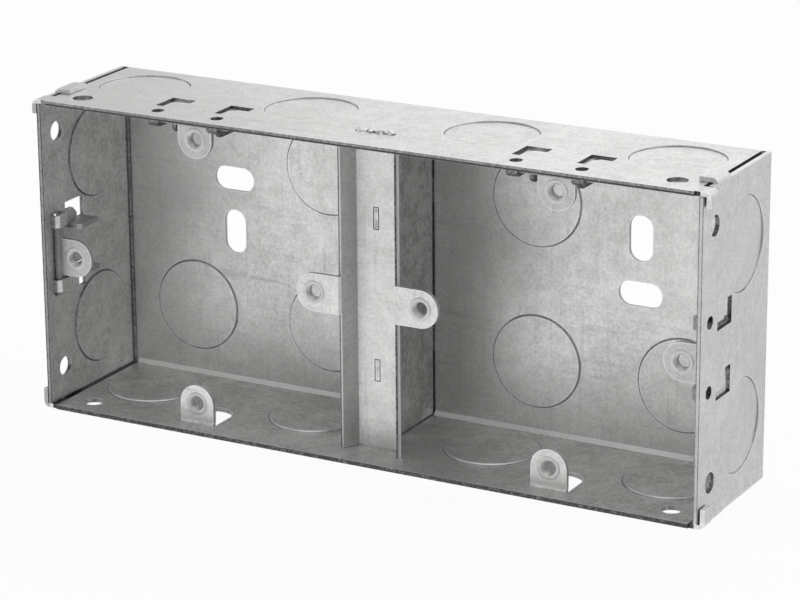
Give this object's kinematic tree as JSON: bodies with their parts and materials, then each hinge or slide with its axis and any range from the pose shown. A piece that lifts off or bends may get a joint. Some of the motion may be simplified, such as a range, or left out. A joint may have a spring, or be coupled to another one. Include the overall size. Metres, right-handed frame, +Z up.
{
  "type": "flush back box",
  "caption": "Folded steel flush box with side-by-side bays for wiring accessories, a staked divider, knockouts and tapped lugs, some of which slide to level a plate.",
  "frame": {"origin": "under the middle of the box, on the plane that its bottom corner flaps stand on", "axes": "+X along the box to the right seen from the open front, +Y from the open front to the back plate, +Z up"},
  "size_m": [0.1608, 0.035, 0.0732],
  "materials": {
    "shell_steel": "galvanised, satin, faintly mottled",
    "channel_steel": "galvanised, satin, faintly mottled",
    "partition_steel": "galvanised, satin, faintly mottled",
    "lug_steel": "galvanised, satin, faintly mottled"
  },
  "bodies": {
    "frame": {"box_shell": "shell_steel", "divider_channel": "channel_steel", "partition_plate": "partition_steel"},
    "top_left_slider": {"top_left_lug": "lug_steel"},
    "top_right_slider": {"top_right_lug": "lug_steel"},
    "left_slider": {"left_lug": "lug_steel"},
    "right_slider": {"right_lug": "lug_steel"}
  },
  "joints": [
    {"name": "top_left_slide", "type": "slide", "parent": "frame", "child": "top_left_slider", "axis": [1, 0, 0], "range_m": [-0.0035, 0]},
    {"name": "top_right_slide", "type": "slide", "parent": "frame", "child": "top_right_slider", "axis": [1, 0, 0], "range_m": [-0.0035, 0]},
    {"name": "left_slide", "type": "slide", "parent": "frame", "child": "left_slider", "axis": [0, 0, 1], "range_m": [-0.00075, 0.00275]},
    {"name": "right_slide", "type": "slide", "parent": "frame", "child": "right_slider", "axis": [0, 0, 1], "range_m": [0, 0.0035]}
  ]
}
